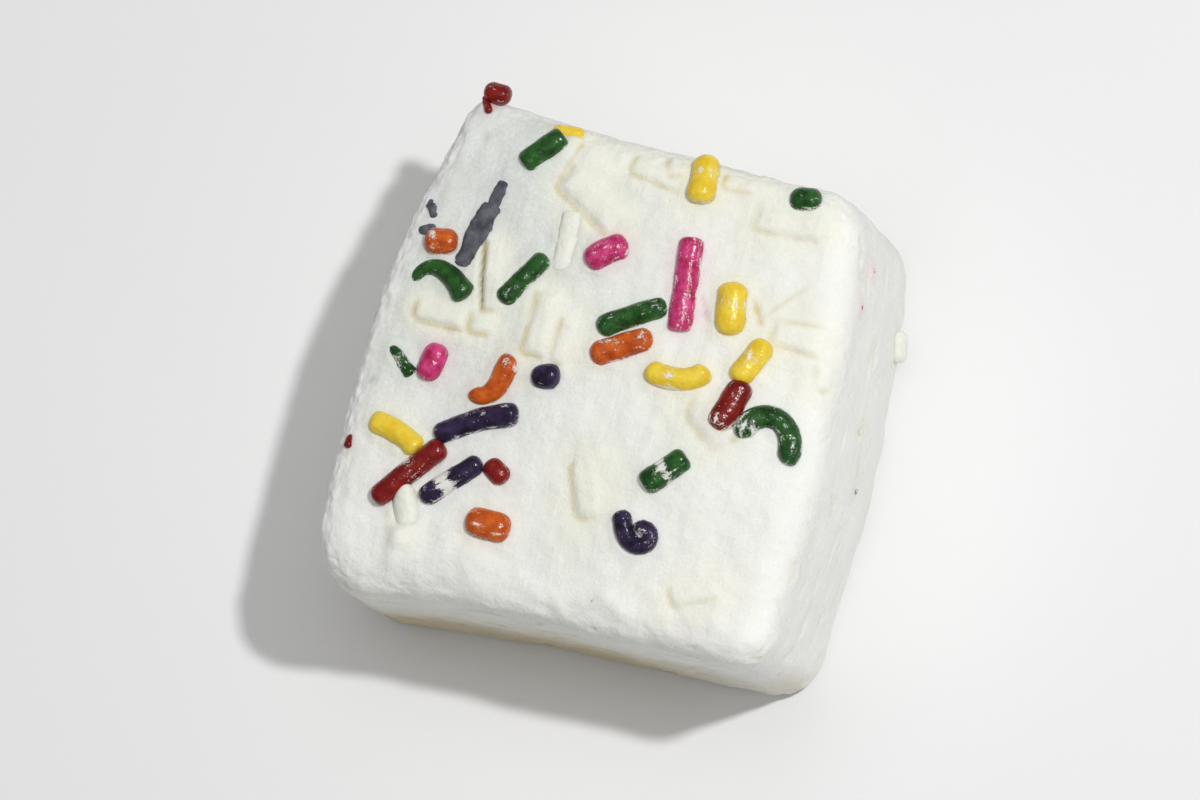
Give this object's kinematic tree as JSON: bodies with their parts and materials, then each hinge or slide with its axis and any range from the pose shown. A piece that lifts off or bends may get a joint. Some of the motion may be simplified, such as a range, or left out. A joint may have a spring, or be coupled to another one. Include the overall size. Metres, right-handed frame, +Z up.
{
  "type": "square marshmallow with sprinkles",
  "caption": "Square hand-cut white marshmallow with soft rounded edges and coloured sugar sprinkles sunk in its top face, lying flat on its base.",
  "frame": {"origin": "centre of the flat base's outside box", "axes": "+Z up through the topped face, +X and +Y along its sides, the narrower side of the face towards +Y"},
  "size_m": [0.041, 0.0424, 0.0214],
  "materials": {
    "marshmallow": "matte, dusted with starch",
    "sprinkle_green": "sugar glaze, powdered",
    "sprinkle_orange": "sugar glaze, powdered",
    "sprinkle_pink": "sugar glaze, powdered",
    "sprinkle_yellow": "sugar glaze, powdered",
    "sprinkle_red": "sugar glaze, powdered",
    "sprinkle_purple": "sugar glaze, powdered",
    "sprinkle_white": "sugar glaze, half covered with foam",
    "sprinkle_slate": "smeared sugar"
  },
  "bodies": {
    "root": {"marshmallow": "marshmallow"}
  },
  "joints": []
}
